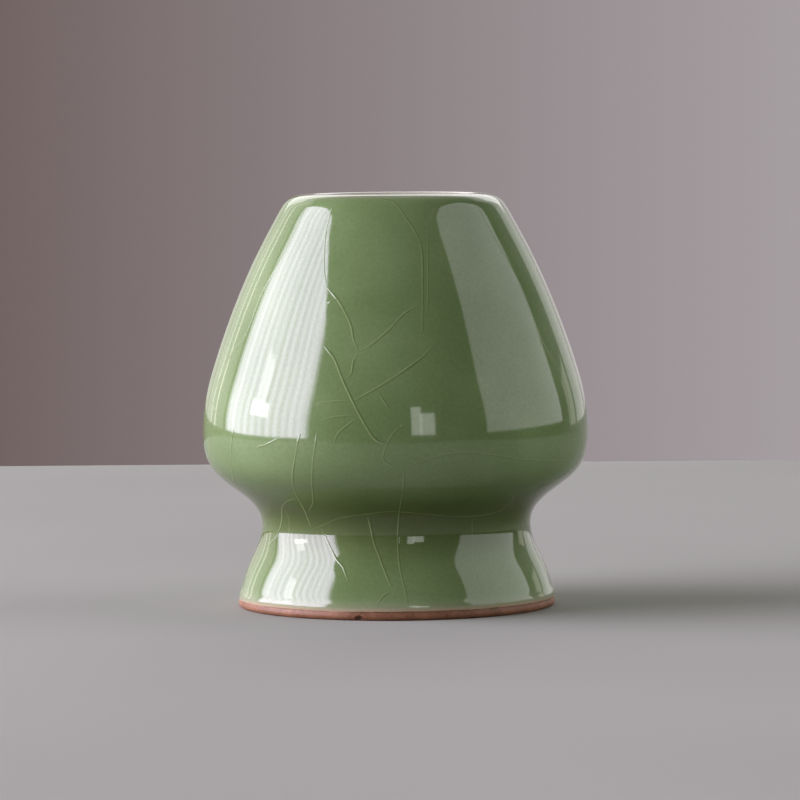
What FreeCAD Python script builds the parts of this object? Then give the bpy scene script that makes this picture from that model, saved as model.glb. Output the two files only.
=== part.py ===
import FreeCAD, Part
import math
import os

# Matcha whisk holder (chasen stand): one fired shell, modelled as the layers it is made of.
# Millimetres, +Z up, origin at the centre of the foot's footprint. Every layer is a surface of
# revolution about Z, so its profile lies in the XZ plane as (radius, height).

# Overall shape of the glazed outside
HEIGHT = 70.0
BELLY_RADIUS = 32.75
BELLY_HEIGHT = 29.6
WAIST_RADIUS = 22.85
WAIST_HEIGHT = 14.0

# Lip and throat
LIP_CREST_RADIUS = 15.2
LIP_OUTER_ROUND = 4.35
LIP_INNER_ROUND = 1.7
THROAT_LAND = 2.0                       # straight length of the throat
THROAT_LEAN = math.radians(22.0)        # inner wall's lean from vertical where it leaves the throat
SHOULDER_LEAN = math.radians(30.5)      # shoulder's lean from vertical where it meets the lip

# Foot
FOOT_RADIUS = 27.0                      # glazed outside at the glaze line
FOOT_LEAN = math.radians(14.0)          # foot wall's lean from vertical
FOOT_ROUND = 0.7                        # rounding of the foot ring's two corners
OUTER_GLAZE_LINE = 1.4                  # height where the outer coat stops
INNER_GLAZE_LINE = 2.6                  # height where the inner coat stops

# Thickness
WALL = 3.8                              # clay and both coats together
WALL_TOP = 57.5                         # even wall below this height; above it the wall swells into the lip
INNER_GLAZE = 0.3
LIP_GLAZE = 0.3                         # outer coat, run thin over the lip
WAIST_GLAZE = 0.75                      # outer coat, pooled in the waist
BELLY_GLAZE = 0.5
FOOT_GLAZE = 0.2                        # outer coat, at its lower edge

STATIONS = 24                           # places along a surface where the layer under it is laid off
HALVINGS = 60                           # steps of the search for a height on a curve


def point(radius, height):
    return FreeCAD.Vector(radius, 0, height)


def unit(angle):
    """Unit vector at an angle above the outward radius."""
    return point(math.cos(angle), math.sin(angle))


def downward(lean):
    """Unit vector pointing down and leaning outwards from vertical."""
    return point(math.sin(lean), -math.cos(lean))


def arc(centre, radius, start, end):
    """Arc between two angles above the outward radius."""
    through = [centre + unit(angle) * radius for angle in (start, (start + end) / 2, end)]
    return Part.Arc(*through).toShape()


def line(start, end):
    return Part.makeLine(start, end)


def smooth_curve(places, first_direction, last_direction):
    """Curve through places, with its direction set at both ends."""
    curve = Part.BSplineCurve()
    curve.interpolate(Points=places, InitialTangent=first_direction, FinalTangent=last_direction)
    return curve


def blend(height, low, high):
    """0 at the low height, 1 at the high one, with a soft start and end."""
    share = min(max((height - low) / (high - low), 0.0), 1.0)
    return share * share * (3 - 2 * share)


def outer_coat_depth(height):
    """Outer coat: thin at the lip and at the glaze line, pooled in the waist."""
    depth = FOOT_GLAZE
    depth += (WAIST_GLAZE - FOOT_GLAZE) * blend(height, OUTER_GLAZE_LINE, WAIST_HEIGHT)
    depth += (BELLY_GLAZE - WAIST_GLAZE) * blend(height, WAIST_HEIGHT, BELLY_HEIGHT)
    depth += (LIP_GLAZE - BELLY_GLAZE) * blend(height, BELLY_HEIGHT, HEIGHT - LIP_OUTER_ROUND)
    return depth


def outside_curve():
    """The glazed outside, from the lip's outer round down to the glaze line."""
    shoulder = point(LIP_CREST_RADIUS, HEIGHT - LIP_OUTER_ROUND) + unit(SHOULDER_LEAN) * LIP_OUTER_ROUND
    straight_down = downward(0.0)
    stations = [
        (shoulder, downward(SHOULDER_LEAN)),
        (point(23.12, 60.2), None),
        (point(27.6, 50.0), None),
        (point(31.08, 39.9), None),
        (point(BELLY_RADIUS, BELLY_HEIGHT), straight_down),
        (point(31.0, 23.3), None),
        (point(26.5, 19.5), None),
        (point(WAIST_RADIUS, WAIST_HEIGHT), straight_down),
        (point(24.6, 8.4), None),
        (point(FOOT_RADIUS, OUTER_GLAZE_LINE), downward(FOOT_LEAN)),
    ]
    curve = Part.BSplineCurve()
    curve.interpolate(
        Points=[place for place, direction in stations],
        Tangents=[direction or straight_down for place, direction in stations],
        TangentFlags=[direction is not None for place, direction in stations],
    )
    return curve


def laid_off(curve, depth_at):
    """Points at a depth under a curve that runs downwards, measured square to it."""
    span = curve.LastParameter - curve.FirstParameter
    places = []
    for index in range(STATIONS + 1):
        parameter = curve.FirstParameter + span * index / STATIONS
        place = curve.value(parameter)
        along = curve.tangent(parameter)[0]
        inwards = point(along.z, -along.x)
        places.append(place + inwards * depth_at(place.z))
    return places


def clay_outside_curve(outside):
    """The clay under the outer coat, from the lip's outer round down to the glaze line."""
    places = laid_off(outside, outer_coat_depth)
    return smooth_curve(places, downward(SHOULDER_LEAN), downward(FOOT_LEAN))


def inside_curve(outside, depth, throat_radius):
    """An inner surface: down out of the throat, then even with the outside, to the foot ring."""
    even = [place for place in laid_off(outside, lambda height: depth) if place.z < WALL_TOP]
    throat_end = point(throat_radius, HEIGHT - LIP_INNER_ROUND - THROAT_LAND)
    drop = even[-1].z - FOOT_ROUND * (1 - math.sin(FOOT_LEAN))
    foot_end = even[-1] + downward(FOOT_LEAN) * (drop / math.cos(FOOT_LEAN))
    places = [throat_end] + even + [foot_end]
    return smooth_curve(places, downward(THROAT_LEAN), downward(FOOT_LEAN))


def parameter_at_height(curve, height):
    """Where a curve that runs downwards crosses a height."""
    high, low = curve.FirstParameter, curve.LastParameter
    for _ in range(HALVINGS):
        middle = (high + low) / 2
        if curve.value(middle).z > height:
            high = middle
        else:
            low = middle
    return (high + low) / 2


def lip_edges(cover):
    """Throat and lip of the surface that lies under a cover of glaze, up to the shoulder."""
    lip_centre = point(LIP_CREST_RADIUS, HEIGHT - LIP_OUTER_ROUND)
    throat_centre = point(LIP_CREST_RADIUS, HEIGHT - LIP_INNER_ROUND)
    outer_round = arc(lip_centre, LIP_OUTER_ROUND - cover, math.pi / 2, SHOULDER_LEAN)
    inner_round = arc(throat_centre, LIP_INNER_ROUND - cover, math.pi, math.pi / 2)
    throat_top = throat_centre - point(LIP_INNER_ROUND - cover, 0)
    throat_end = throat_top - point(0, THROAT_LAND)
    return [line(throat_end, throat_top), inner_round, outer_round]


def foot_edges(outer_start, inner_end):
    """Bare foot ring: down from the glaze line, round both corners and back up to the inner wall."""
    outer_angle = FOOT_LEAN
    inner_angle = FOOT_LEAN - math.pi
    drop = outer_start.z - FOOT_ROUND * (1 + math.sin(FOOT_LEAN))
    outer_end = outer_start + downward(FOOT_LEAN) * (drop / math.cos(FOOT_LEAN))
    outer_centre = outer_end - unit(outer_angle) * FOOT_ROUND
    inner_centre = inner_end - unit(inner_angle) * FOOT_ROUND
    down = -math.pi / 2
    return [
        line(outer_start, outer_end),
        arc(outer_centre, FOOT_ROUND, outer_angle, down),
        line(outer_centre + unit(down) * FOOT_ROUND, inner_centre + unit(down) * FOOT_ROUND),
        arc(inner_centre, FOOT_ROUND, down, inner_angle),
    ]


def revolved(edges):
    """Solid of revolution from the closed profile that the edges make."""
    profile = Part.Wire(Part.__sortEdges__(edges))
    return Part.Face(profile).revolve(FreeCAD.Vector(0, 0, 0), FreeCAD.Vector(0, 0, 1), 360)


def outer_glaze(outside, clay_outside):
    """Glaze over the whole outside, over the lip and down the throat."""
    foot_step = line(outside.value(outside.LastParameter), clay_outside.value(clay_outside.LastParameter))
    glazed_lip = lip_edges(0.0)
    clay_lip = lip_edges(LIP_GLAZE)
    throat_step = line(glazed_lip[0].firstVertex().Point, clay_lip[0].firstVertex().Point)
    walls = [outside.toShape(), clay_outside.toShape()]
    return revolved(glazed_lip + walls + clay_lip + [foot_step, throat_step])


def clay_body(clay_outside, clay_inside):
    """The clay shell: open mouth, hollow belly and hollow foot."""
    glaze_line = parameter_at_height(clay_inside, INNER_GLAZE_LINE)
    glazed_wall = clay_inside.toShape(clay_inside.FirstParameter, glaze_line)
    bare_wall = clay_inside.toShape(glaze_line, clay_inside.LastParameter)
    outer_start = clay_outside.value(clay_outside.LastParameter)
    inner_end = clay_inside.value(clay_inside.LastParameter)
    foot = foot_edges(outer_start, inner_end)
    return revolved(lip_edges(LIP_GLAZE) + [clay_outside.toShape()] + foot + [bare_wall, glazed_wall])


def inner_glaze(inside, clay_inside):
    """Glaze on the inner wall, from the bottom of the throat to just above the foot ring."""
    inside_line = parameter_at_height(inside, INNER_GLAZE_LINE)
    clay_line = parameter_at_height(clay_inside, INNER_GLAZE_LINE)
    return revolved([
        inside.toShape(inside.FirstParameter, inside_line),
        line(inside.value(inside_line), clay_inside.value(clay_line)),
        clay_inside.toShape(clay_inside.FirstParameter, clay_line),
        line(clay_inside.value(clay_inside.FirstParameter), inside.value(inside.FirstParameter)),
    ])


def build():
    """Every layer by its node's name."""
    throat_radius = LIP_CREST_RADIUS - LIP_INNER_ROUND
    outside = outside_curve()
    clay_outside = clay_outside_curve(outside)
    inside = inside_curve(outside, WALL, throat_radius)
    clay_inside = inside_curve(outside, WALL - INNER_GLAZE, throat_radius + LIP_GLAZE)
    return {
        "clay_body": clay_body(clay_outside, clay_inside),
        "outer_glaze": outer_glaze(outside, clay_outside),
        "inner_glaze": inner_glaze(inside, clay_inside),
    }


os.makedirs("parts", exist_ok=True)
for node, shape in build().items():
    shape.exportStep("parts/" + node + ".step")
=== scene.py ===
import math
import random

import bpy
import numpy as np
from mathutils import Matrix, Vector, noise


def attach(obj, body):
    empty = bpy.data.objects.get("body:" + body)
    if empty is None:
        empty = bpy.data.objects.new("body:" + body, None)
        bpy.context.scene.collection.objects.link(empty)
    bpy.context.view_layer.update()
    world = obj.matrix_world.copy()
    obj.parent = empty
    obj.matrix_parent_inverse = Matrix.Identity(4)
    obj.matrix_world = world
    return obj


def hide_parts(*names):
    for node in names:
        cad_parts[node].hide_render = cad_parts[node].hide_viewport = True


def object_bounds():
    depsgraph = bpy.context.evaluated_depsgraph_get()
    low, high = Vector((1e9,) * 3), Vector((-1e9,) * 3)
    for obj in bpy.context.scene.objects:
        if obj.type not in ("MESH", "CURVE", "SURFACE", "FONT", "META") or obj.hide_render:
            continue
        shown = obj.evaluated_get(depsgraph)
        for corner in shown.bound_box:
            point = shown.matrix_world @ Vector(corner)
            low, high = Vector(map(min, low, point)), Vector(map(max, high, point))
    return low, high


# Looks of a celadon matcha whisk holder: glaze coats with their crackle, and the bare clay foot.
# Metres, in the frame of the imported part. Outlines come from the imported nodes; a place on the
# glaze is an azimuth (0 towards the camera, positive to the right) and a run along the outline.

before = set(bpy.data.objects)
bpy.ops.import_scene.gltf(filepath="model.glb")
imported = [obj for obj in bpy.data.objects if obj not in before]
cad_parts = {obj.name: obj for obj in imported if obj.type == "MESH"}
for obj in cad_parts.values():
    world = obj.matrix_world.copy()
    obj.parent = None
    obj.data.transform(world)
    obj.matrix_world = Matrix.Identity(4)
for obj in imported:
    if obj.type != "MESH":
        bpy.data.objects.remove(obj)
cad_low, cad_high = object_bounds()
MM = 0.001

# Resolution of the meshes
COLUMNS = 360                   # round the glaze coats
FOOT_COLUMNS = 960              # round the clay, whose foot ring shows its grain
OUTER_ROWS = 238                # along the outer coat's visible side
INNER_ROWS = 150
HIDDEN_STEP = 4 * MM            # row spacing where a surface is buried

# Hand-made unevenness of the fired surface
SWELL = 0.022 * MM
SWELL_LENGTH = 26 * MM
RIPPLE = 0.003 * MM
RIPPLE_LENGTH = 8 * MM
OVALITY = 0.05 * MM

# Edge of the glaze at the foot
BEAD_WIDTH = 0.8 * MM           # run over which the coat rounds down to the clay
BEAD_BULGE = 0.10 * MM
EDGE_WANDER = 0.14 * MM
EDGE_TILT = 0.14 * MM           # the edge runs this much higher on one side
EDGE_TILT_TOWARDS = math.radians(35)
EDGE_REACH = 5 * MM             # run above the edge that follows its wander
BURIED = 0.03 * MM

# Throat
OVERLAP = 1.6 * MM              # the outer coat's end slips this far under the inner one
SOFTENED = 1.2 * MM             # run each side of the throat's lower corner that the glaze rounds off

# Rough thickness of the glaze, only to tell a coat's hidden side from its visible one
THROAT_COAT = 0.3 * MM
WAIST_COAT = 0.7 * MM

# Tone of the coat along its run
LIP_PALE_AT = 0.3 * MM          # run past the crest where the coat is palest
LIP_PALE_REACH = 1.7 * MM
POOL_AND_SHADE_AT = 3.5 * MM              # run above the waist where the coat is darkest: glaze pooled deepest there, plus painted shade under the belly
POOL_AND_SHADE_REACH = 7.0 * MM
EDGE_TONE_REACH = 0.28 * MM
EDGE_PALE = 0.55
EDGE_PALE_REACH = 0.9 * MM

# Crackle
CRACK_STEP = 0.4 * MM
CRACK_WIDTH = 0.60 * MM
CRACK_HEIGHT = 0.016 * MM
CRACK_TAPER = 5                 # steps over which a crack dies out at each end
CRACK_SUNK = 0.03 * MM          # how far its very ends dip into the glaze
CRACK_GAP = 2.2 * MM            # a growing crack is this long before it may stop at another one
CRACK_MEETS = 0.8 * MM          # and it stops there when it comes this near
CRACK_CLEAR = 2.6 * MM          # the middle of a crack keeps this far from the others
CRACK_SHORTEST = 6 * MM
CRACK_REACH = (14 * MM, 60 * MM)
CRACK_BRANCHES = 0.6            # share of cracks that start on another one


# ---------------------------------------------------------------- outlines

def meridian(node):
    """The node's closed outline in the half plane y = 0, x > 0: (radius, height) points in order."""
    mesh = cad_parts[node].data
    spot = {v.index: (round(v.co.x, 7), round(v.co.z, 7))
            for v in mesh.vertices if abs(v.co.y) < 1e-7 and v.co.x > 0}
    links = {}
    for edge in mesh.edges:
        a, b = (spot.get(index) for index in edge.vertices)
        if a and b and a != b:
            links.setdefault(a, set()).add(b)
            links.setdefault(b, set()).add(a)
    loop = [min(links, key=lambda p: (p[1], p[0]))]
    came_from = None
    while True:
        ahead = [p for p in sorted(links[loop[-1]]) if p != came_from]
        came_from = loop[-1]
        if ahead[0] == loop[0]:
            return loop
        loop.append(ahead[0])


def stretch(loop, start, via, end):
    """Part of a closed loop from start to end that passes via, each given by a test of a point."""
    first, middle, last = (loop.index(min(loop, key=test)) for test in (start, via, end))
    count = len(loop)
    forward = [loop[(first + i) % count] for i in range((last - first) % count + 1)]
    if loop[middle] in forward:
        return forward
    return [loop[(first - i) % count] for i in range((first - last) % count + 1)]


class Outline:
    """Smooth curve through (radius, height) points, read by the run along it."""

    def __init__(self, points):
        self.points = np.array(points)
        steps = np.hypot(*np.diff(self.points, axis=0).T)
        self.runs = np.concatenate([[0.0], np.cumsum(steps)])
        self.length = self.runs[-1]
        count = len(points)
        matrix = np.eye(count)
        right = np.zeros((count, 2))
        for i in range(1, count - 1):
            before, after = steps[i - 1], steps[i]
            matrix[i, i - 1:i + 2] = before, 2 * (before + after), after
            slope_before = (self.points[i] - self.points[i - 1]) / before
            slope_after = (self.points[i + 1] - self.points[i]) / after
            right[i] = 6 * (slope_after - slope_before)
        self.bends = np.linalg.solve(matrix, right)

    def at(self, run):
        """Point and outward normal at a run; past the ends the curve goes on straight."""
        inside = min(max(run, 0.0), self.length)
        i = int(np.clip(np.searchsorted(self.runs, inside) - 1, 0, len(self.runs) - 2))
        span = self.runs[i + 1] - self.runs[i]
        b = (inside - self.runs[i]) / span
        a = 1 - b
        p, q = self.points[i], self.points[i + 1]
        m, n = self.bends[i], self.bends[i + 1]
        place = a * p + b * q + ((a ** 3 - a) * m + (b ** 3 - b) * n) * span ** 2 / 6
        along = (q - p) / span + ((1 - 3 * a * a) * m + (3 * b * b - 1) * n) * span / 6
        along /= np.hypot(*along)
        place = place + along * (run - inside)
        return place, np.array([along[1], -along[0]])

    def run_at_height(self, height):
        """First run where the curve reaches a height, going up from its start."""
        reached = np.argmax(self.points[:, 1] >= height)
        low, high = self.points[reached - 1, 1], self.points[reached, 1]
        share = (height - low) / (high - low)
        return self.runs[reached - 1] + share * (self.runs[reached] - self.runs[reached - 1])


outer_loop = meridian("outer_glaze")
inner_loop = meridian("inner_glaze")
clay_loop = meridian("clay_body")

crest = max(outer_loop, key=lambda p: p[1])
outer_foot_corner = max((p for p in outer_loop if p[1] < outer_loop[0][1] + 0.2 * MM), key=lambda p: p[0])
throat_end = min(outer_loop, key=lambda p: (p[0], p[1]))
inner_foot_corner = min((p for p in inner_loop if p[1] < inner_loop[0][1] + 0.01 * MM), key=lambda p: p[0])


def near(target):
    """Test of a point that is smallest nearest the target."""
    return lambda p: math.dist(p, target)


outer_path = stretch(outer_loop, near(outer_foot_corner), near(crest), near(throat_end))
inner_waist = min((p for p in inner_loop if p[1] < 0.4 * crest[1]), key=lambda p: p[0])
inner_path = stretch(inner_loop, near(throat_end), near(inner_waist), near(inner_foot_corner))
skin = Outline([p for p in outer_path if math.dist(p, throat_end) > SOFTENED]
               + [p for p in inner_path if math.dist(p, throat_end) > SOFTENED])
crest_run = skin.run_at_height(crest[1] - 0.001 * MM)
throat_run = crest_run + (crest[1] - throat_end[1]) + 0.5 * MM
belly_radius = max(p[0] for p in outer_path)
waist_radius, waist_height = min((p for p in outer_path if p[1] < 0.4 * crest[1]), key=lambda p: p[0])
waist_run = skin.run_at_height(waist_height)


# ---------------------------------------------------------------- surfaces

def around(azimuth, radius, height):
    """Place in the row frame; azimuth 0 faces -Y."""
    return Vector((radius * math.sin(azimuth), -radius * math.cos(azimuth), height))


def swell(azimuth, radius, height):
    """Unevenness of the fired wall, square to it."""
    spot = around(azimuth, radius, height)
    slow = noise.noise(spot / SWELL_LENGTH + Vector((3.1, 7.7, 1.3)))
    quick = noise.noise(spot / RIPPLE_LENGTH + Vector((11.9, 2.3, 5.1)))
    oval = math.cos(2 * azimuth + 0.6) * OVALITY * radius / belly_radius
    return SWELL * slow + RIPPLE * quick + oval


def edge_wander(azimuth, seed):
    """How far the glaze's edge runs above or below its mean line."""
    circle = Vector((math.sin(azimuth), math.cos(azimuth), seed))
    waves = noise.noise(circle * 2.2) + 0.5 * noise.noise(circle * 7.0) + 0.2 * noise.noise(circle * 22.0)
    return EDGE_WANDER * waves + EDGE_TILT * math.cos(azimuth - EDGE_TILT_TOWARDS)


def on_skin(azimuth, run):
    """Point and normal of the glazed surface before its edge is rounded."""
    (radius, height), (out, up) = skin.at(run)
    lift = swell(azimuth, radius, height)
    return around(azimuth, radius + out * lift, height + up * lift), around(azimuth, out, up)


def rounded_edge(depth_in):
    """Height change of the coat a run in from its edge: it rolls down to the clay and bulges behind."""
    share = min(max(depth_in / BEAD_WIDTH, 0.0), 1.0)
    roll = 1 - math.sqrt(1 - (1 - share) ** 2)
    bulge = BEAD_BULGE * math.exp(-((depth_in - 1.3 * BEAD_WIDTH) / (0.8 * BEAD_WIDTH)) ** 2)
    return roll, bulge


def spaced(start, end, count, crowd):
    """Runs from start to end, closer together where crowd(run) is larger."""
    fine = np.linspace(start, end, 4000)
    weight = np.array([crowd(run) for run in fine])
    total = np.concatenate([[0.0], np.cumsum((weight[1:] + weight[:-1]) / 2)])
    return np.interp(np.linspace(0, total[-1], count), total, fine)


def curvature_crowd(run):
    """Rows crowd where the outline turns."""
    step = 0.5 * MM
    before = skin.at(run - step)[1]
    after = skin.at(run + step)[1]
    turning = math.acos(float(np.clip(before @ after, -1, 1))) / (2 * step)
    return 1 + turning * 2.2 * MM


def edge_crowd(depth_in):
    """Rows crowd where the coat rounds down to its edge."""
    return 7 * math.exp(-depth_in / (1.5 * BEAD_WIDTH))


def shell(name, rings, columns):
    """Mesh of rings of vertices, each joined to the next and the last one to the first."""
    count = len(rings)
    verts = [v for ring in rings for v in ring]
    faces = []
    for i in range(count):
        a, b = i * columns, (i + 1) % count * columns
        for j in range(columns):
            k = (j + 1) % columns
            faces.append((a + j, a + k, b + k, b + j))
    mesh = bpy.data.meshes.new(name)
    mesh.from_pydata(verts, [], faces)
    mesh.validate()
    mesh.shade_smooth()
    piece = bpy.data.objects.new(name, mesh)
    bpy.context.scene.collection.objects.link(piece)
    return piece


def set_values(piece, name, values):
    """Store one number a vertex, for the materials to read."""
    layer = piece.data.attributes.new(name, "FLOAT", "POINT")
    layer.data.foreach_set("value", np.asarray(values, np.float32))


TONES = ("pale", "pool_and_shade", "edge")


def tone(run, depth_in):
    """Pale, pooled-and-shaded and edge shares: how thin the coat is, how deep it has pooled together with
    the painted shade under the belly, and how near its edge is.
    """
    lip = math.exp(-((run - crest_run - LIP_PALE_AT) / LIP_PALE_REACH) ** 2)
    edge = math.exp(-max(depth_in, 0.0) / EDGE_TONE_REACH)
    near_edge = EDGE_PALE * math.exp(-max(depth_in, 0.0) / EDGE_PALE_REACH)
    # Darker band just above the waist: glaze pooled there, and painted shade on the underside of the
    # belly.
    pool_and_shade = math.exp(-((run - waist_run - POOL_AND_SHADE_AT) / POOL_AND_SHADE_REACH) ** 2)
    return max(lip, near_edge), pool_and_shade, edge


def buried_path(loop, start, via, end):
    """Outline of a coat's hidden side, thinned to the rows that it needs."""
    outline = Outline(stretch(loop, near(start), near(via), near(end)))
    count = round(outline.length / HIDDEN_STEP)
    return [outline.at(outline.length * i / count)[0] for i in range(count + 1)]


class Coat:
    """One glaze coat: its visible side follows the skin along runs, its hidden side follows the clay."""

    def __init__(self, runs, edge_run, upwards, seed):
        self.runs = runs
        self.edge_run = edge_run
        self.upwards = upwards              # 1 where runs grow away from the edge, else -1
        self.seed = seed

    def place(self, azimuth, run):
        """Point and normal of the coat's visible side."""
        depth_in = (run - self.edge_run) * self.upwards
        follow = max(0.0, 1 - max(depth_in, 0.0) / EDGE_REACH) ** 2
        roll, bulge = rounded_edge(depth_in)
        spot, normal = on_skin(azimuth, run + edge_wander(azimuth, self.seed) * follow)
        return spot + normal * (bulge - roll * edge_thickness - self.sunk(run)), normal

    def sunk(self, run):
        """The outer coat slips under the inner one in the throat."""
        return BURIED * min(max((run - throat_run) / OVERLAP, 0.0), 1.0) if self.upwards > 0 else 0.0

    def tone(self, run):
        return tone(run, (run - self.edge_run) * self.upwards)

    def build(self, name, hidden):
        rings = [[self.place(math.tau * j / COLUMNS, run)[0] for j in range(COLUMNS)] for run in self.runs]
        tones = [self.tone(run) for run in self.runs]
        azimuths = [math.tau * j / COLUMNS for j in range(COLUMNS)]
        for radius, height in hidden:
            rings.append([around(a, radius + swell(a, radius, height), height) for a in azimuths])
            tones.append((0.0, 0.0, 0.0))
        piece = shell(name, rings, COLUMNS)
        for tone_name, values in zip(TONES, zip(*tones)):
            set_values(piece, tone_name, np.repeat(values, COLUMNS))
        return piece


clay_edge = min(outer_loop, key=lambda p: p[1])
edge_thickness = math.dist(outer_foot_corner, clay_edge) + BURIED
throat_clay = (throat_end[0] + THROAT_COAT, throat_end[1])

outer_runs = spaced(0.0, throat_run + OVERLAP, OUTER_ROWS,
                    lambda run: curvature_crowd(run) + edge_crowd(run))
outer_coat = Coat(outer_runs, 0.0, 1, 4.0)
inner_runs = spaced(throat_run, skin.length, INNER_ROWS,
                    lambda run: curvature_crowd(run) + edge_crowd(skin.length - run))
inner_coat = Coat(inner_runs, skin.length, -1, 9.0)

outer_hidden = buried_path(outer_loop, throat_clay, (waist_radius - WAIST_COAT, waist_height), clay_edge)
inner_clay_edge = max(p for p in inner_loop if p[1] < inner_foot_corner[1] + 0.01 * MM)
inner_hidden = buried_path(inner_loop, inner_clay_edge, (inner_waist[0] + THROAT_COAT, inner_waist[1]),
                           throat_clay)
outer_glaze = outer_coat.build("outer_celadon_coat", outer_hidden)
inner_glaze = inner_coat.build("inner_celadon_coat", inner_hidden)


# ---------------------------------------------------------------- clay

FOOT_TOP = 3.2 * MM             # the clay is finely meshed below this height
FOOT_STEP = 0.2 * MM
GRAIN = 0.012 * MM
GRAIN_LENGTH = 0.45 * MM
CHIP_AZIMUTH = math.radians(-13.5)
CHIP_REACH = Vector((0.8, 0.6, 0.55)) * MM      # half extents round the foot, outwards and up
CHIP_DEPTH = 0.4 * MM


def foot_grain(spot):
    """Open grain of bare fired clay: pits only, so the foot stands on its true plane."""
    coarse = abs(noise.noise(spot / (3 * GRAIN_LENGTH)))
    fine = abs(noise.noise(spot / GRAIN_LENGTH + Vector((5.0, 1.0, 9.0))))
    return -GRAIN * (0.7 * coarse + fine)


def chip(spot, azimuth, radius, height):
    """Share of the chip's depth at a place on the foot ring, 0 outside it."""
    around_foot = (azimuth - CHIP_AZIMUTH + math.pi) % math.tau - math.pi
    away = ((around_foot * radius / CHIP_REACH.x) ** 2
            + ((radius - chip_centre[0]) / CHIP_REACH.y) ** 2
            + ((height - chip_centre[1]) / CHIP_REACH.z) ** 2)
    rough = 0.25 * noise.noise(spot / (0.35 * MM))
    return max(0.0, 1 - away + rough) ** 0.7 if away < 1.2 else 0.0


def clay_ring(outline, run, detailed):
    """Vertices round the clay at a run of an outline, and the chip's share at each one."""
    (radius, height), (out, up) = outline.at(run)
    ring, chipped = [], []
    for j in range(FOOT_COLUMNS):
        azimuth = math.tau * j / FOOT_COLUMNS
        wide = radius + swell(azimuth, radius, height)
        spot = around(azimuth, wide, height)
        broken = 0.0
        if detailed:
            normal = around(azimuth, out, up)
            broken = chip(spot, azimuth, radius, height)
            spot = spot + normal * (foot_grain(spot) * (1 + 2 * broken))
            spot = spot + around(azimuth, -0.75, 0.65) * (CHIP_DEPTH * broken)
            spot.z = max(spot.z, 0.0)
        ring.append(spot)
        chipped.append(broken)
    return ring, chipped


foot_outer = max((p for p in clay_loop if p[1] < FOOT_TOP), key=lambda p: p[0])
chip_centre = (foot_outer[0] - 0.05 * MM, 0.25 * MM)
foot_points = [p for p in clay_loop if p[1] < FOOT_TOP]
inner_top = min((p for p in foot_points if p[0] < foot_outer[0] - 2 * MM), key=lambda p: -p[1])
outer_top = min((p for p in foot_points if p[0] > foot_outer[0] - 2 * MM), key=lambda p: -p[1])
foot_edge = (foot_outer[0], 0.0)
foot_ring_outline = Outline(stretch(clay_loop, near(inner_top), near(foot_edge), near(outer_top)))
wall_outline = Outline(stretch(clay_loop, near(outer_top), near(crest), near(inner_top)))


def build_clay(name):
    rings, chipped = [], []
    fine_rows = round(foot_ring_outline.length / FOOT_STEP)
    coarse_rows = round(wall_outline.length / HIDDEN_STEP)
    for i in range(fine_rows):
        ring, broken = clay_ring(foot_ring_outline, foot_ring_outline.length * i / fine_rows, True)
        rings.append(ring)
        chipped += broken
    for i in range(coarse_rows):
        ring, broken = clay_ring(wall_outline, wall_outline.length * i / coarse_rows, False)
        rings.append(ring)
        chipped += broken
    piece = shell(name, rings, FOOT_COLUMNS)
    set_values(piece, "chipped", chipped)
    return piece


clay = build_clay("fired_clay_shell")


# ---------------------------------------------------------------- crackle

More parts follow.
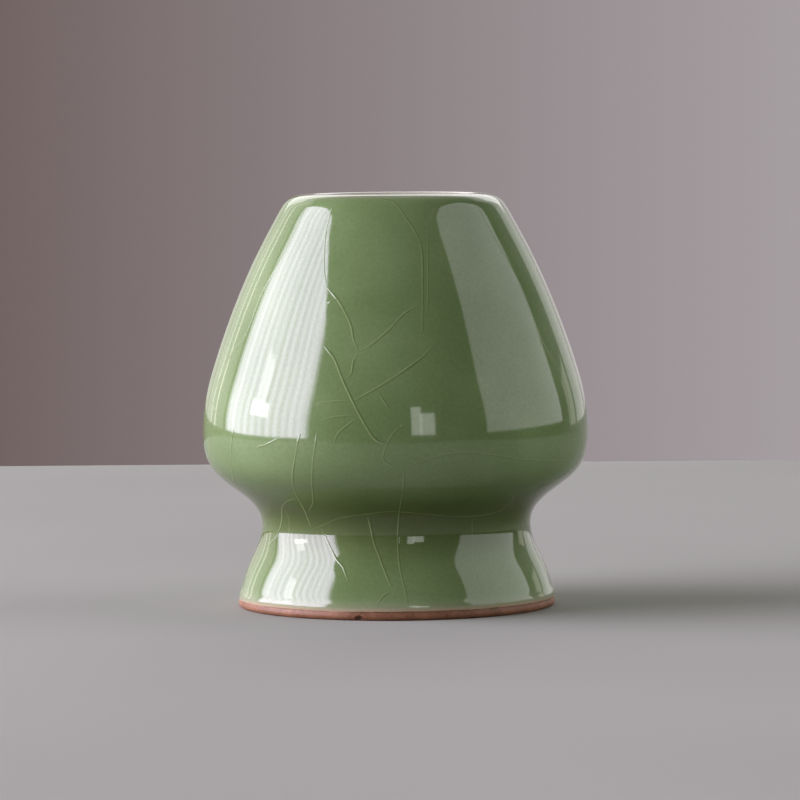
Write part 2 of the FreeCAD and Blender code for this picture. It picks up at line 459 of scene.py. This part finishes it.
# Long cracks on the front, one to a line: how strong it is, then its (azimuth in degrees, height in mm)
# marks.
FRONT_CRACKS = [
    (0.3, [(-32, 69.6), (-32.5, 65), (-29, 58.5), (-26, 55)]),
    (1.0, [(-26, 55), (-22, 53.5), (-19, 52), (-15, 49), (-13.5, 46.5), (-11.5, 44.5)]),
    (1.0, [(-11.5, 44.5), (-13, 43), (-13.5, 41), (-15.5, 40)]),
    (1.0, [(-11.5, 44.5), (-8, 45.5), (-2, 48), (3, 50.5), (8, 52)]),
    (1.2, [(-23.5, 45.5), (-19.5, 43.5), (-16, 40), (-12.5, 36.5), (-10, 34), (-6, 30.5), (-2, 29.5)]),
    (0.8, [(-10, 69.4), (0, 68.7), (6, 66), (10, 63.5), (11.5, 60.5), (10.5, 55), (9, 47)]),
    (0.5, [(21, 68), (17, 66), (15, 63.5), (11, 49.5)]),
    (1.0, [(-12.5, 36.5), (-6, 38.5), (1.5, 41), (9.5, 44), (13, 46)]),
    (0.9, [(-5.5, 38.5), (-3, 36.3), (-1, 34.5)]),
    (0.9, [(-10.5, 34), (-14, 32.6), (-17, 31), (-18, 29)]),
    (0.5, [(-24, 36), (-18, 36.5), (-13, 36.6)]),
    (0.5, [(-22, 33.5), (-17.5, 34), (-11, 34.3)]),
    (0.8, [(2, 33), (-1, 31), (-2.5, 29.5), (-3.5, 27), (0.5, 25.6)]),
    (0.7, [(2.5, 25.5), (2.2, 21), (1, 16), (0.7, 12), (1.5, 8), (3, 5), (4, 2.2)]),
    (0.4, [(2.5, 25.5), (9, 27), (19, 28), (30, 27.3), (45, 26), (66, 25.5), (82, 27)]),
    (0.9, [(-55, 32), (-57.5, 27), (-61, 23.5), (-70, 21), (-76, 19)]),
    (0.7, [(-78, 38), (-73, 36), (-70, 34.5), (-64, 33)]),
    (1.0, [(-28.5, 31.5), (-30.5, 27), (-33, 23.5), (-36, 20.5), (-38.5, 17), (-38, 14.5)]),
    (0.9, [(-23, 31.5), (-24.5, 27), (-26.5, 23), (-31, 19.5), (-37, 17.3)]),
    (0.9, [(-36.5, 20), (-43, 19.3), (-50, 18), (-55, 16), (-61, 13), (-70, 10)]),
    (0.6, [(-38, 14.5), (-32, 15.2), (-23, 16.6), (-11, 17.4), (0, 17.8), (26, 16.6), (45, 17), (49, 19),
           (42, 20.7)]),
    (1.0, [(-33, 15), (-30.5, 13), (-25, 10), (-21, 8.5), (-18, 6)]),
    (1.0, [(-11.5, 17.3), (-9.5, 13), (-6.5, 10), (-4, 7.5), (-1.3, 5)]),
    (0.9, [(-1.3, 5), (-4.5, 4.2), (-6.5, 3), (-7, 1.9)]),
    (0.8, [(-1.3, 5), (1.5, 5.8)]),
    (0.7, [(-36, 30.3), (-41, 29), (-44, 28.6), (-46, 27)]),
    (0.7, [(-19.5, 52.5), (-22, 53), (-25, 52)]),
    (0.4, [(26, 44), (29, 42), (32, 40.8), (34, 38)]),
    (0.4, [(47, 68.5), (50, 62), (55, 55), (57, 46), (63, 40), (64, 33), (60, 26)]),
    (0.4, [(57, 46), (48, 43), (41, 41.5), (34, 38)]),
    (0.6, [(-50, 68.5), (-52, 61), (-58, 54), (-60, 47), (-68, 42), (-73, 36)]),
    (0.6, [(33, 16.6), (34, 12), (31, 8), (33, 2.2)]),
    (0.6, [(-49, 18), (-52, 12), (-50, 7), (-54, 2.2)]),
]
FRONT_EDGE = math.radians(68)   # cracks grow on their own beyond this azimuth


def run_of_mark(height):
    """Run along the skin of a height in mm."""
    return skin.run_at_height(min(height * MM, crest[1] - 0.002 * MM))


def smooth_route(marks, step):
    """Even steps along a smooth curve through (azimuth, run) marks."""
    knots = [np.array(m) for m in marks]
    knots = [2 * knots[0] - knots[1]] + knots + [2 * knots[-1] - knots[-2]]
    route = []
    for a, b, c, d in zip(knots, knots[1:], knots[2:], knots[3:]):
        radius = skin.at(b[1])[0][0]
        span = math.hypot((c[0] - b[0]) * radius, c[1] - b[1])
        pieces = max(1, round(span / step))
        for i in range(pieces):
            t = i / pieces
            route.append(0.5 * (2 * b + (c - a) * t + (2 * a - 5 * b + 4 * c - d) * t * t
                                + (3 * b - a - 3 * c + d) * t ** 3))
    route.append(knots[-2])
    return [(float(azimuth), float(run)) for azimuth, run in route]


def spot_of(mark):
    """Place in the row frame of an (azimuth, run) mark."""
    (radius, height), _ = skin.at(mark[1])
    return np.array(around(mark[0], radius, height))


def grow(start, heading, others, bounds, dice, reach):
    """A crack that wanders from a start until it meets another one, its bounds or its reach."""
    low, high, inside = bounds
    route = [start]
    bend = dice.uniform(-0.05, 0.05) / MM
    for count in range(int(reach / CRACK_STEP)):
        if dice.random() < 0.02:
            bend = dice.uniform(-0.06, 0.06) / MM
            heading += dice.uniform(-0.35, 0.35)
        heading += bend * CRACK_STEP + dice.gauss(0, 0.035)
        azimuth, run = route[-1]
        radius = skin.at(run)[0][0]
        mark = (azimuth + math.sin(heading) * CRACK_STEP / radius, run + math.cos(heading) * CRACK_STEP)
        if not (low < mark[1] < high and inside(mark[0])):
            route.append(mark)
            return route
        route.append(mark)
        if count * CRACK_STEP > CRACK_GAP and len(others):
            away = np.linalg.norm(others - spot_of(mark), axis=1)
            if away.min() < CRACK_MEETS:
                return route
    return route


def own_cracks(seed_routes, bounds, dice, total):
    """Cracks that grow off the seed routes and off each other until their length adds up to a total."""
    routes = []
    marks = [mark for route in seed_routes for mark in route[::3]]
    spots = np.array([spot_of(mark) for mark in marks]) if marks else np.zeros((0, 3))
    low, high, inside = bounds
    length = 0.0
    for _ in range(4000):
        if length > total:
            break
        eligible = [m for m in marks if inside(m[0]) and low < m[1] < high]
        if eligible and dice.random() < CRACK_BRANCHES:
            start = dice.choice(eligible)
        else:
            start = (dice.uniform(0, math.tau), dice.uniform(low, high))
            if not inside(start[0]):
                continue
        heading = dice.uniform(0, math.tau)
        route = grow(start, heading, spots, bounds, dice, dice.uniform(*CRACK_REACH))
        if len(route) * CRACK_STEP < CRACK_SHORTEST:
            continue
        middle = np.array([spot_of(m) for m in route[len(route) // 4:len(route) * 3 // 4:4]])
        if len(spots) and min(np.linalg.norm(spots - m, axis=1).min() for m in middle) < CRACK_CLEAR:
            continue
        routes.append((dice.uniform(0.6, 1.1), route))
        length += len(route) * CRACK_STEP
        marks += route[::3]
        spots = np.concatenate([spots, [spot_of(m) for m in route[::3]]])
    return routes


# Cross-section of a crack's welt, point by point: share of its half width, share of its height, how far
# it is sunk in mm, then how much painted light (one flank) and painted shade (the line and the other
# flank) shows there
WELT = [(-1.7, 0.0, 0.06, 0.0, 0.0), (-1.35, 0.0, 0.014, 0.0, 0.0), (-1.0, 0.0, 0.004, 0.1, 0.0),
        (-0.66, 0.26, -0.002, 0.8, 0.0), (-0.3, 0.78, -0.002, 1.0, 0.0), (0.0, 1.0, -0.002, 0.5, 0.8),
        (0.3, 0.78, -0.002, 0.0, 1.0), (0.66, 0.26, -0.002, 0.0, 0.5), (1.0, 0.0, 0.004, 0.0, 0.1),
        (1.35, 0.0, 0.014, 0.0, 0.0), (1.7, 0.0, 0.06, 0.0, 0.0), (0.0, 0.0, 0.12, 0.0, 0.0)]


def build_crackle(name, coat, routes, dice):
    """Every crack of one coat: a low welt in the glaze, tapering out at its ends, with painted light along
    one flank and painted shade along the other.
    """
    verts, faces, crack_painted_light, crack_painted_shade, tones = [], [], [], [], []
    for strength, route in routes:
        base = len(verts)
        phase = dice.uniform(0, 100)
        places = [coat.place(azimuth, run) for azimuth, run in route]
        # A fixed direction, towards the left and up where the window is, picks the flank for the painted
        # light and the other for the painted shade.
        across_route = places[len(places) // 2][1].cross(places[-1][0] - places[0][0])
        turned = 1 if across_route.x - across_route.z > 0 else -1
        for i, (spot, normal) in enumerate(places):
            along = places[min(i + 1, len(places) - 1)][0] - places[max(i - 1, 0)][0]
            side = normal.cross(along).normalized() * turned
            up = along.cross(side).normalized()
            up = up if up.dot(normal) > 0 else -up
            from_end = min(i, len(places) - 1 - i)
            taper = min(1.0, 0.2 + 0.8 * from_end / CRACK_TAPER)
            dip = CRACK_SUNK * max(0.0, 1 - from_end)
            fade = taper * strength * (0.8 + 0.35 * noise.noise(Vector((i * 0.11, phase, 0.0))))
            wide = 0.5 * CRACK_WIDTH * (0.5 + 0.5 * fade)
            for across, rise, sunk, painted_light_share, painted_shade_share in WELT:
                lift = rise * CRACK_HEIGHT * fade - sunk * MM - dip
                verts.append(spot + side * (across * wide) + up * lift)
                # Painted light and painted shade of the crack, fading with the welt
                crack_painted_light.append(painted_light_share * min(fade, 1.0))
                crack_painted_shade.append(painted_shade_share * min(fade, 1.0))
            tones += [coat.tone(route[i][1])] * len(WELT)
        size = len(WELT)
        for i in range(len(places) - 1):
            for j in range(size):
                k = (j + 1) % size
                a, b = base + i * size, base + (i + 1) * size
                faces.append((a + j, a + k, b + k, b + j))
        faces.append(tuple(base + j for j in reversed(range(size))))
        faces.append(tuple(base + (len(places) - 1) * size + j for j in range(size)))
    mesh = bpy.data.meshes.new(name)
    mesh.from_pydata(verts, [], faces)
    mesh.validate()
    mesh.shade_smooth()
    piece = bpy.data.objects.new(name, mesh)
    bpy.context.scene.collection.objects.link(piece)
    set_values(piece, "crack_painted_light", crack_painted_light)
    set_values(piece, "crack_painted_shade", crack_painted_shade)
    for tone_name, values in zip(TONES, zip(*tones)):
        set_values(piece, tone_name, values)
    return piece


def front_route(marks):
    """Route of a crack that is given by its (azimuth in degrees, height in mm) marks."""
    placed = [(math.radians(azimuth), run_of_mark(height)) for azimuth, height in marks]
    return smooth_route(placed, CRACK_STEP)


front_routes = [(strength, front_route(marks)) for strength, marks in FRONT_CRACKS]


def beyond_front(azimuth):
    """Whether an azimuth lies outside the part of the coat whose cracks are listed."""
    turned = (azimuth + math.pi) % math.tau - math.pi
    return abs(turned) > FRONT_EDGE


outer_bounds = (1.5 * MM, crest_run + 1.5 * MM, beyond_front)
back_routes = own_cracks([route for _, route in front_routes], outer_bounds, random.Random(41), 950 * MM)
outer_routes = front_routes + back_routes
outer_crackle = build_crackle("outer_coat_crackle", outer_coat, outer_routes, random.Random(5))
inner_bounds = (throat_run + 3 * MM, skin.length - 2 * MM, lambda azimuth: True)
inner_routes = own_cracks([], inner_bounds, random.Random(17), 700 * MM)
inner_crackle = build_crackle("inner_coat_crackle", inner_coat, inner_routes, random.Random(6))


# ---------------------------------------------------------------- materials

def linear(red, green, blue):
    """Linear colour from the usual 0 to 255 values."""
    return tuple(((c / 255 + 0.055) / 1.055) ** 2.4 if c > 10 else c / 255 / 12.92
                 for c in (red, green, blue)) + (1.0,)


class Shader:
    """A material's node tree, with short calls for the nodes used here."""

    def __init__(self, name):
        self.material = bpy.data.materials.new(name)
        self.material.use_nodes = True
        self.nodes = self.material.node_tree.nodes
        self.links = self.material.node_tree.links
        self.surface = self.nodes["Principled BSDF"]
        self.where = self.nodes.new("ShaderNodeTexCoord").outputs["Object"]

    def value(self, name):
        """One of the numbers stored at the vertices."""
        node = self.nodes.new("ShaderNodeAttribute")
        node.attribute_name = name
        return node.outputs["Fac"]

    def noise(self, size, detail=2.0):
        """Noise with a given feature size in metres."""
        node = self.nodes.new("ShaderNodeTexNoise")
        node.inputs["Scale"].default_value = 1 / size
        node.inputs["Detail"].default_value = detail
        self.links.new(self.where, node.inputs["Vector"])
        return node.outputs["Fac"]

    def ramp(self, source, *stops):
        """Colour ramp from (position, colour) stops."""
        node = self.nodes.new("ShaderNodeValToRGB")
        elements = node.color_ramp.elements
        while len(elements) < len(stops):
            elements.new(0.5)
        for element, (position, colour) in zip(elements, stops):
            element.position = position
            element.color = colour
        self.links.new(source, node.inputs["Fac"])
        return node.outputs["Color"]

    def mix(self, share, low, high, kind="MIX"):
        """Blend of two colours; share, low and high are each a socket or a constant."""
        node = self.nodes.new("ShaderNodeMix")
        node.data_type = "RGBA"
        node.blend_type = kind
        for socket, given in ((node.inputs[0], share), (node.inputs[6], low), (node.inputs[7], high)):
            self.feed(socket, given)
        return node.outputs[2]

    def math(self, operation, a, b=0.0):
        node = self.nodes.new("ShaderNodeMath")
        node.operation = operation
        self.feed(node.inputs[0], a)
        self.feed(node.inputs[1], b)
        return node.outputs[0]

    def feed(self, socket, given):
        if isinstance(given, bpy.types.NodeSocket):
            self.links.new(given, socket)
        else:
            socket.default_value = given

    def bump(self, height, distance, strength=1.0):
        node = self.nodes.new("ShaderNodeBump")
        node.inputs["Distance"].default_value = distance
        node.inputs["Strength"].default_value = strength
        self.links.new(height, node.inputs["Height"])
        self.links.new(node.outputs["Normal"], self.surface.inputs["Normal"])


CELADON = linear(117, 140, 92)
CELADON_LIGHT = linear(131, 153, 106)
# Deep green over the waist: pooled glaze, and painted shade under the belly.
CELADON_POOLED_AND_SHADED = linear(78, 88, 40)
GLAZE_THIN = linear(214, 212, 194)
GLAZE_EDGE = linear(208, 164, 136)
# Painted light and painted shade on the two flanks of a crack
GLAZE_CRACK_PAINTED_LIGHT = linear(168, 184, 128)
GLAZE_CRACK_PAINTED_SHADE = linear(60, 80, 44)
CLAY = linear(122, 85, 58)
CLAY_LIGHT = linear(156, 115, 84)
CLAY_PIT = linear(96, 64, 44)
CLAY_GRAIN = linear(172, 132, 100)
CLAY_CHIPPED = linear(98, 72, 60)
TABLE_TONE = linear(164, 167, 156)
TABLE_TONE_LIGHT = linear(173, 176, 165)
WALL_DARK = linear(112, 99, 98)
WALL_LIGHT = linear(160, 154, 157)
ROOM_DARK = linear(42, 39, 38)
BACKDROP = linear(150, 144, 146)
BLACK = (0.0, 0.0, 0.0, 1.0)
WHITE = (1.0, 1.0, 1.0, 1.0)

# How strongly each tone of the coat takes over its colour
FLECK_SHARE = 0.06
POOL_AND_SHADE_SHARE = 0.8
PALE_SHARE = 0.8
EDGE_SHARE = 0.85
# How strongly the crack's painted light and painted shade show
CRACK_PAINTED_LIGHT_SHARE = 0.55
CRACK_PAINTED_SHADE_SHARE = 0.5


def glaze_material(name):
    shader = Shader(name)
    clouds = shader.ramp(shader.noise(14 * MM), (0.3, CELADON), (0.72, CELADON_LIGHT))
    flecks = shader.ramp(shader.noise(0.5 * MM, 3.0), (0.30, BLACK), (0.70, WHITE))
    colour = shader.mix(FLECK_SHARE, clouds, flecks, "OVERLAY")
    # The pooled tone also paints shade under the belly; the two crack tones paint light on one flank of a
    # crack and shade on the other.
    for tone_name, share, tone_colour in (
            ("pool_and_shade", POOL_AND_SHADE_SHARE, CELADON_POOLED_AND_SHADED), ("pale", PALE_SHARE, GLAZE_THIN),
            ("edge", EDGE_SHARE, GLAZE_EDGE), ("crack_painted_light", CRACK_PAINTED_LIGHT_SHARE, GLAZE_CRACK_PAINTED_LIGHT),
            ("crack_painted_shade", CRACK_PAINTED_SHADE_SHARE, GLAZE_CRACK_PAINTED_SHADE)):
        amount = shader.math("MULTIPLY", shader.value(tone_name), share)
        colour = shader.mix(amount, colour, tone_colour)
    shader.links.new(colour, shader.surface.inputs["Base Color"])
    shader.surface.inputs["Roughness"].default_value = 0.07
    shader.surface.inputs["IOR"].default_value = 1.6
    return shader.material


def clay_material(name):
    shader = Shader(name)
    body = shader.ramp(shader.noise(3 * MM, 4.0), (0.32, CLAY), (0.68, CLAY_LIGHT))
    grit = shader.ramp(shader.noise(0.3 * MM, 3.0), (0.36, CLAY_PIT), (0.58, CLAY_GRAIN))
    fired = shader.mix(0.25, body, grit)
    broken = shader.mix(shader.value("chipped"), fired, CLAY_CHIPPED)
    shader.links.new(broken, shader.surface.inputs["Base Color"])
    shader.surface.inputs["Roughness"].default_value = 0.52
    shader.bump(shader.noise(0.2 * MM, 3.0), 0.012 * MM, 0.5)
    return shader.material


outer_material = glaze_material("celadon_glaze")
inner_material = glaze_material("inner_celadon_glaze")
for piece in (outer_glaze, outer_crackle):
    piece.data.materials.append(outer_material)
for piece in (inner_glaze, inner_crackle):
    piece.data.materials.append(inner_material)
clay.data.materials.append(clay_material("fired_clay"))
for piece in (outer_glaze, inner_glaze, clay, outer_crackle, inner_crackle):
    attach(piece, "root")
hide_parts("outer_glaze")
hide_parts("inner_glaze")
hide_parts("clay_body")


# ---------------------------------------------------------------- table, room and lights

TABLE_BACK = 0.34
TABLE_HALF = 0.5
TABLE_THICK = 0.03
TABLE_ROUND = 0.004
TABLE_ROUND_STEPS = 6


def build_table():
    """A plain pale table top with a rounded rim; the holder stands on z = 0. A profile point is how far
    it lies outside the table's edge, and its height."""
    quarter = [math.pi / 2 * (1 - i / TABLE_ROUND_STEPS) for i in range(TABLE_ROUND_STEPS + 1)]
    profile = [(TABLE_ROUND * (math.cos(a) - 1), TABLE_ROUND * (math.sin(a) - 1)) for a in quarter]
    profile.append((0.0, -TABLE_THICK))
    low, high = (-TABLE_HALF, -TABLE_HALF), (TABLE_HALF, TABLE_BACK)
    verts, faces = [], []
    for inset, height in profile:
        verts += [(low[0] - inset, low[1] - inset, height), (high[0] + inset, low[1] - inset, height),
                  (high[0] + inset, high[1] + inset, height), (low[0] - inset, high[1] + inset, height)]
    rows = len(profile)
    faces.append((0, 1, 2, 3))
    for i in range(rows - 1):
        for j in range(4):
            k = (j + 1) % 4
            faces.append((i * 4 + j, (i + 1) * 4 + j, (i + 1) * 4 + k, i * 4 + k))
    faces.append(tuple((rows - 1) * 4 + j for j in (3, 2, 1, 0)))
    mesh = bpy.data.meshes.new("table_top")
    mesh.from_pydata(verts, [], faces)
    table = bpy.data.objects.new("table_top", mesh)
    bpy.context.scene.collection.objects.link(table)
    shader = Shader("pale_table")
    tint = shader.ramp(shader.noise(0.25, 2.0), (0.3, TABLE_TONE), (0.7, TABLE_TONE_LIGHT))
    shader.links.new(tint, shader.surface.inputs["Base Color"])
    shader.surface.inputs["Roughness"].default_value = 0.8
    shader.surface.inputs["Specular IOR Level"].default_value = 0.1
    mesh.materials.append(shader.material)


WINDOW_AWAY = 1.2
WINDOW_NEAR = -0.94             # Y of the window's edge nearest the camera
WINDOW_FAR = 0.72
WINDOW_TOP = 1.3
WINDOW_ARCH = 0.22              # share by which the outermost strips are lower
PLEATS = 25
WINDOW_RADIANCE = 8.3
WINDOW_FADE = 0.3               # share by which the window dims towards its far edge
FOLD_BRIGHT = 1.11
FOLD_DIM = 0.85
FOLD_SPREAD = 0.08
CURTAIN_TINT = (0.88, 0.79, 1.0)
WHITE_LIGHT = (1.0, 1.0, 1.0)
WALL_AWAY = 1.3                 # distance of the panels behind the holder
PATCH_X = -WINDOW_AWAY + 0.02   # patches of sun hang just inside the curtain

# Flat lamps beside and in front: name, place, target, width, height, radiance, tint
SIDE_LAMPS = [
    ("sun_patch", (PATCH_X, -0.01, 0.25), (0.0, -0.01, 0.25), 0.3, 0.14, 5.0, WHITE_LIGHT),
    ("sun_glow", (PATCH_X, 0.0, 0.42), (0.0, 0.0, 0.42), 0.16, 0.24, 2.5, WHITE_LIGHT),
    ("right_wall", (WINDOW_AWAY, -0.1, 0.95), (0.0, -0.1, 0.95), 1.45, 1.8, 1.36, (0.96, 0.92, 1.0)),
    ("far_window", (0.52, -1.5, 0.24), (0.06, 0.0, 0.02), 0.24, 0.38, 2.4, WHITE_LIGHT),
    ("far_window_tall", (0.33, -1.5, 0.29), (-0.06, 0.0, 0.07), 0.16, 0.48, 2.4, WHITE_LIGHT),
]
# Upright lamps behind, standing on the table's level: name, bearing and width in degrees, height,
# radiance, tint
BACK_LAMPS = [
    ("back_left_wall", -139, 30, 1.2, 0.68, (1.0, 0.92, 1.0)),
    ("left_slit", -136.5, 1.4, 1.1, 1.9, (1.0, 1.0, 0.94)),
    ("left_slit_far", -144, 1.0, 1.0, 1.5, (1.0, 1.0, 0.94)),
    ("back_left_glow", -163, 16, 1.2, 0.5, (1.0, 0.96, 1.0)),
    ("right_stripes_low", 131, 9, 0.28, 0.6, (1.0, 0.96, 0.84)),
    ("back_right_wall", 147, 18, 1.2, 0.6, (1.0, 0.98, 1.0)),
    ("back_right_glow", 165, 16, 1.2, 0.35, (1.0, 0.92, 0.96)),
]
HIGH_BACK_LAMP = ("high_back_light", (0.0, 1.5, 0.8), (0.0, 0.0, 0.1), 1.8, 0.6, 1.2, (1.0, 0.98, 1.0))


def panel(name, place, target, width, height, radiance, tint):
    """Flat lamp facing a target. Radiance is how bright its face looks, whatever its size."""
    data = bpy.data.lights.new(name, "AREA")
    data.shape = "RECTANGLE"
    data.size = width
    data.size_y = height
    data.energy = radiance * width * height * math.pi
    data.color = tint
    lamp = bpy.data.objects.new(name, data)
    lamp.location = place
    facing = (Vector(target) - Vector(place)).normalized()
    lamp.rotation_mode = "QUATERNION"
    lamp.rotation_quaternion = facing.to_track_quat("-Z", "Y")
    lamp.visible_camera = False
    bpy.context.scene.collection.objects.link(lamp)


def bearing_panel(name, bearing, wide, tall, radiance, tint):
    """Upright panel behind the holder, at a bearing and a width in degrees round it."""
    centre = around(math.radians(bearing), WALL_AWAY, tall / 2)
    width = 2 * WALL_AWAY * math.tan(math.radians(wide / 2))
    panel(name, centre, (0.0, 0.0, tall / 2), width, tall, radiance, tint)


def pleated_window():
    """Tall window to the left behind a sheer pleated curtain: upright strips, brighter and dimmer."""
    dice = random.Random(23)
    width = (WINDOW_FAR - WINDOW_NEAR) / PLEATS
    for index in range(PLEATS):
        y = WINDOW_NEAR + (index + 0.5) * width
        fold = FOLD_BRIGHT if index % 2 else FOLD_DIM
        margin = min(1.0, 0.3 + 0.35 * index, 0.5 + 0.25 * (PLEATS - 1 - index))
        uneven = dice.uniform(1 - FOLD_SPREAD, 1 + FOLD_SPREAD)
        radiance = WINDOW_RADIANCE * fold * margin * uneven * (1 - WINDOW_FADE * index / PLEATS)
        off_middle = 2 * (index + 0.5) / PLEATS - 1
        tall = WINDOW_TOP * (1 - WINDOW_ARCH * off_middle ** 2)
        panel(f"window_pleat_{index}", (-WINDOW_AWAY, y, tall / 2), (0.0, y, tall / 2),
              width, tall, radiance, CURTAIN_TINT)


def studio():
    """Lamps and room: the direct view shows a plain backdrop, and a darker room lights the holder."""
    pleated_window()
    for lamp in SIDE_LAMPS:
        panel(*lamp)
    for lamp in BACK_LAMPS:
        bearing_panel(*lamp)
    panel(*HIGH_BACK_LAMP)
    world = bpy.data.worlds.new("room")
    bpy.context.scene.world = world
    world.use_nodes = True
    nodes, links = world.node_tree.nodes, world.node_tree.links
    where = nodes.new("ShaderNodeTexCoord")
    split = nodes.new("ShaderNodeSeparateXYZ")
    links.new(where.outputs["Generated"], split.inputs[0])

    def ramp_along(axis, low, high, dark, light):
        """Colour that changes along one axis of the direction looked in."""
        span = nodes.new("ShaderNodeMapRange")
        span.inputs["From Min"].default_value = low
        span.inputs["From Max"].default_value = high
        ramp = nodes.new("ShaderNodeValToRGB")
        ramp.color_ramp.elements[0].color = dark
        ramp.color_ramp.elements[1].color = light
        links.new(split.outputs[axis], span.inputs["Value"])
        links.new(span.outputs["Result"], ramp.inputs["Fac"])
        return ramp.outputs["Color"]

    def blend(share, low, high):
        node = nodes.new("ShaderNodeMix")
        node.data_type = "RGBA"
        links.new(share, node.inputs[0])
        for socket, given in ((node.inputs[6], low), (node.inputs[7], high)):
            if isinstance(given, bpy.types.NodeSocket):
                links.new(given, socket)
            else:
                socket.default_value = given
        return node.outputs[2]

    wall = ramp_along("X", -0.09, 0.09, WALL_DARK, WALL_LIGHT)
    ahead = ramp_along("Y", 0.35, 0.85, BLACK, WHITE)
    room_light = blend(ahead, ROOM_DARK, wall)
    backdrop = blend(ahead, BACKDROP, wall)
    seen_directly = nodes.new("ShaderNodeLightPath").outputs["Is Camera Ray"]
    links.new(blend(seen_directly, room_light, backdrop), nodes["Background"].inputs["Color"])
    nodes["Background"].inputs["Strength"].default_value = 1.0


CAMERA_AWAY = 0.811
CAMERA_ABOVE_RIM = 0.0124
CAMERA_PITCH = math.radians(3.354)
CAMERA_YAW = math.radians(-0.056)
CAMERA_ROLL = math.radians(0.45)
CAMERA_LENS = 215.2


def camera():
    data = bpy.data.cameras.new("camera")
    data.lens = CAMERA_LENS
    data.sensor_width = 36.0
    data.clip_start = 0.05
    data.clip_end = 20.0
    eye = bpy.data.objects.new("camera", data)
    upright = Matrix.Rotation(CAMERA_YAW, 4, "Z") @ Matrix.Rotation(math.pi / 2 - CAMERA_PITCH, 4, "X")
    eye.matrix_world = (Matrix.Translation((0.0, -CAMERA_AWAY, cad_high.z + CAMERA_ABOVE_RIM))
                        @ upright @ Matrix.Rotation(-CAMERA_ROLL, 4, "Z"))
    bpy.context.scene.collection.objects.link(eye)
    bpy.context.scene.camera = eye


build_table()
studio()
camera()
bpy.context.scene.view_settings.view_transform = "Standard"
bpy.context.scene.view_settings.look = "Medium High Contrast"
